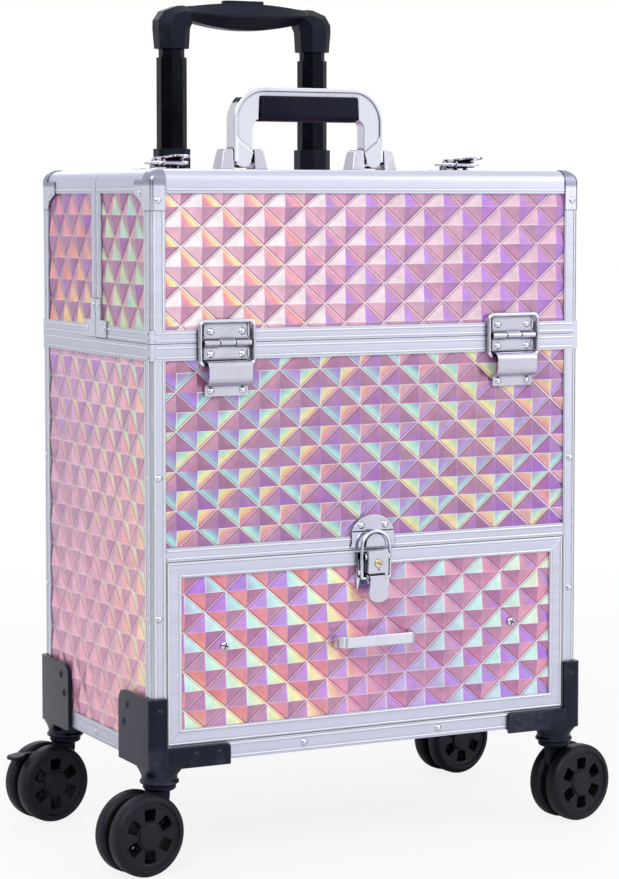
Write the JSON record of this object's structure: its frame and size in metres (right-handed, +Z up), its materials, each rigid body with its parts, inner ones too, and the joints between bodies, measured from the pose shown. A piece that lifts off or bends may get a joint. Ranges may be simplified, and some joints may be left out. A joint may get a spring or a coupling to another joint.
{
  "type": "makeup train case",
  "caption": "Upright rolling makeup train case with embossed holographic panels in aluminium rails, a split lid, a latched drawer, a swing-out tray, a pull-out trolley and swivel casters.",
  "frame": {"origin": "on the floor under the middle of the case, midway between the four casters", "axes": "+Z up, -Y towards the drawer's front, +X to the right of someone who faces the drawer"},
  "size_m": [0.413, 0.242, 0.6146],
  "materials": {
    "brushed_aluminium": "satin anodised",
    "holographic_panel": "embossed pyramids with a holographic pink film",
    "lined_board": "board with a black lining",
    "chrome": "polished",
    "black_enamel": "satin black",
    "zinc_steel": "zinc plated",
    "black_plastic": "fine grain",
    "wheel_plastic": "satin, with a softer tread"
  },
  "bodies": {
    "case": {"corner_posts": "brushed_aluminium", "bottom_rails": "brushed_aluminium", "base_rim": "brushed_aluminium", "middle_rail": "brushed_aluminium", "base_panels": "holographic_panel", "bottom_board": "lined_board", "drawer_shelf": "lined_board", "case_rivets": "chrome", "caster_brackets": "black_plastic", "bracket_screws": "black_enamel", "hinge_lower_leaves": "chrome", "stay_sleeves": "chrome", "drawer_latch_keeper": "chrome", "drawer_fixed_runners": "zinc_steel", "trolley_outer_tubes": "black_enamel", "trolley_collars": "black_plastic", "trolley_clamps": "black_plastic", "rear_lid_frame": "brushed_aluminium", "rear_lid_panels": "holographic_panel", "rear_lid_corner_fittings": "brushed_aluminium", "carry_handle_feet": "chrome", "top_latch_keepers": "chrome", "tray_posts": "zinc_steel"},
    "front_lid": {"front_lid_frame": "brushed_aluminium", "front_lid_panels": "holographic_panel", "front_lid_corner_fittings": "brushed_aluminium", "front_lid_rivets": "chrome", "hinge_upper_leaves": "chrome", "top_latch_plates": "chrome"},
    "stay_rings": {"stay_rings": "chrome"},
    "drawer": {"drawer_front_panel": "holographic_panel", "drawer_front_frame": "brushed_aluminium", "drawer_box": "lined_board", "drawer_moving_runners": "zinc_steel", "drawer_pull": "chrome", "drawer_screws": "chrome", "drawer_latch_plate": "chrome"},
    "drawer_latch_lever": {"drawer_latch_lever": "chrome"},
    "drawer_latch_bail": {"drawer_latch_bail": "chrome"},
    "carry_handle": {"carry_handle_bow": "chrome", "carry_handle_grip": "black_plastic"},
    "trolley_middle": {"trolley_middle_tubes": "black_enamel"},
    "trolley_inner": {"trolley_inner_tubes": "black_enamel", "trolley_grip": "black_plastic"},
    "trolley_button": {"trolley_button": "black_plastic"},
    "tray_front_arms": {"tray_front_arms": "zinc_steel"},
    "tray_rear_arms": {"tray_rear_arms": "zinc_steel"},
    "tray": {"tray": "black_plastic"},
    "top_latch_lever_left": {"top_latch_lever_left": "chrome"},
    "top_latch_bail_left": {"top_latch_bail_left": "chrome"},
    "top_latch_lever_right": {"top_latch_lever_right": "chrome"},
    "top_latch_bail_right": {"top_latch_bail_right": "chrome"},
    "caster_fork_front_left": {"caster_fork_front_left": "black_plastic"},
    "caster_wheels_front_left": {"caster_wheels_front_left": "wheel_plastic"},
    "caster_fork_front_right": {"caster_fork_front_right": "black_plastic"},
    "caster_wheels_front_right": {"caster_wheels_front_right": "wheel_plastic"},
    "caster_fork_rear_left": {"caster_fork_rear_left": "black_plastic"},
    "caster_wheels_rear_left": {"caster_wheels_rear_left": "wheel_plastic"},
    "caster_fork_rear_right": {"caster_fork_rear_right": "black_plastic"},
    "caster_wheels_rear_right": {"caster_wheels_rear_right": "wheel_plastic"}
  },
  "joints": [
    {"name": "front_lid_hinge", "type": "hinge", "parent": "case", "child": "front_lid", "pos_m": [0, -0.1044, 0.3642], "axis": [1, 0, 0], "range_deg": [0, 90]},
    {"name": "stay_ring_swing", "type": "hinge", "parent": "front_lid", "child": "stay_rings", "pos_m": [0, -0.1036, 0.3792], "axis": [1, 0, 0], "range_deg": [-60, 0]},
    {"name": "drawer_slide", "type": "slide", "parent": "case", "child": "drawer", "axis": [0, -1, 0], "range_m": [0, 0.14]},
    {"name": "drawer_latch_lever_hinge", "type": "hinge", "parent": "drawer", "child": "drawer_latch_lever", "pos_m": [0, -0.107, 0.2102], "axis": [-1, 0, 0], "range_deg": [0, 100]},
    {"name": "drawer_latch_bail_hinge", "type": "hinge", "parent": "drawer_latch_lever", "child": "drawer_latch_bail", "pos_m": [0, -0.1064, 0.1952], "axis": [1, 0, 0], "range_deg": [0, 140]},
    {"name": "carry_handle_hinge", "type": "hinge", "parent": "case", "child": "carry_handle", "pos_m": [0, 0.0043, 0.4912], "axis": [-1, 0, 0], "range_deg": [0, 90]},
    {"name": "trolley_middle_slide", "type": "slide", "parent": "case", "child": "trolley_middle", "axis": [0, 0, 1], "range_m": [-0.069, 0.22]},
    {"name": "trolley_inner_slide", "type": "slide", "parent": "trolley_middle", "child": "trolley_inner", "axis": [0, 0, 1], "range_m": [-0.006, 0.28]},
    {"name": "trolley_button_press", "type": "slide", "parent": "trolley_inner", "child": "trolley_button", "axis": [0, 0, -1], "range_m": [0, 0.003], "stiffness_N_per_m": 400},
    {"name": "tray_front_arm_swing", "type": "hinge", "parent": "case", "child": "tray_front_arms", "pos_m": [0, -0.0741, 0.3549], "axis": [1, 0, 0], "range_deg": [0, 90]},
    {"name": "tray_rear_arm_swing", "type": "hinge", "parent": "case", "child": "tray_rear_arms", "pos_m": [0, -0.0581, 0.3549], "axis": [1, 0, 0], "range_deg": [0, 90]},
    {"name": "tray_swing", "type": "hinge", "parent": "tray_front_arms", "child": "tray", "pos_m": [0, -0.014, 0.415], "axis": [1, 0, 0], "range_deg": [-90, 0]},
    {"name": "top_latch_lever_left_hinge", "type": "hinge", "parent": "front_lid", "child": "top_latch_lever_left", "pos_m": [-0.119, -0.009, 0.4886], "axis": [-1, 0, 0], "range_deg": [0, 100]},
    {"name": "top_latch_bail_left_hinge", "type": "hinge", "parent": "top_latch_lever_left", "child": "top_latch_bail_left", "pos_m": [-0.119, -0.024, 0.488], "axis": [1, 0, 0], "range_deg": [0, 140]},
    {"name": "top_latch_lever_right_hinge", "type": "hinge", "parent": "front_lid", "child": "top_latch_lever_right", "pos_m": [0.119, -0.009, 0.4886], "axis": [-1, 0, 0], "range_deg": [0, 100]},
    {"name": "top_latch_bail_right_hinge", "type": "hinge", "parent": "top_latch_lever_right", "child": "top_latch_bail_right", "pos_m": [0.119, -0.024, 0.488], "axis": [1, 0, 0], "range_deg": [0, 140]},
    {"name": "caster_swivel_front_left", "type": "hinge", "parent": "case", "child": "caster_fork_front_left", "pos_m": [-0.1595, -0.089, 0.0582], "axis": [0, 0, 1], "continuous": true},
    {"name": "caster_spin_front_left", "type": "hinge", "parent": "caster_fork_front_left", "child": "caster_wheels_front_left", "pos_m": [-0.1757, -0.09215, 0.0285], "axis": [0.1908, -0.9816, 0], "continuous": true},
    {"name": "caster_swivel_front_right", "type": "hinge", "parent": "case", "child": "caster_fork_front_right", "pos_m": [0.1595, -0.089, 0.0582], "axis": [0, 0, 1], "continuous": true},
    {"name": "caster_spin_front_right", "type": "hinge", "parent": "caster_fork_front_right", "child": "caster_wheels_front_right", "pos_m": [0.1757, -0.08585, 0.0285], "axis": [-0.1908, 0.9816, 0], "continuous": true},
    {"name": "caster_swivel_rear_left", "type": "hinge", "parent": "case", "child": "caster_fork_rear_left", "pos_m": [-0.1595, 0.089, 0.0582], "axis": [0, 0, 1], "continuous": true},
    {"name": "caster_spin_rear_left", "type": "hinge", "parent": "caster_fork_rear_left", "child": "caster_wheels_rear_left", "pos_m": [-0.1757, 0.08585, 0.0285], "axis": [0.1908, -0.9816, 0], "continuous": true},
    {"name": "caster_swivel_rear_right", "type": "hinge", "parent": "case", "child": "caster_fork_rear_right", "pos_m": [0.1595, 0.089, 0.0582], "axis": [0, 0, 1], "continuous": true},
    {"name": "caster_spin_rear_right", "type": "hinge", "parent": "caster_fork_rear_right", "child": "caster_wheels_rear_right", "pos_m": [0.1757, 0.09215, 0.0285], "axis": [-0.1908, 0.9816, 0], "continuous": true}
  ],
  "couplings": [
    {"joint": "stay_ring_swing", "follows": "front_lid_hinge", "ratio": -0.66667},
    {"joint": "drawer_latch_bail_hinge", "follows": "drawer_latch_lever_hinge", "ratio": 1.4},
    {"joint": "tray_front_arm_swing", "follows": "front_lid_hinge", "ratio": 1},
    {"joint": "tray_rear_arm_swing", "follows": "front_lid_hinge", "ratio": 1},
    {"joint": "tray_swing", "follows": "front_lid_hinge", "ratio": -1},
    {"joint": "top_latch_bail_left_hinge", "follows": "top_latch_lever_left_hinge", "ratio": 1.4},
    {"joint": "top_latch_bail_right_hinge", "follows": "top_latch_lever_right_hinge", "ratio": 1.4}
  ]
}
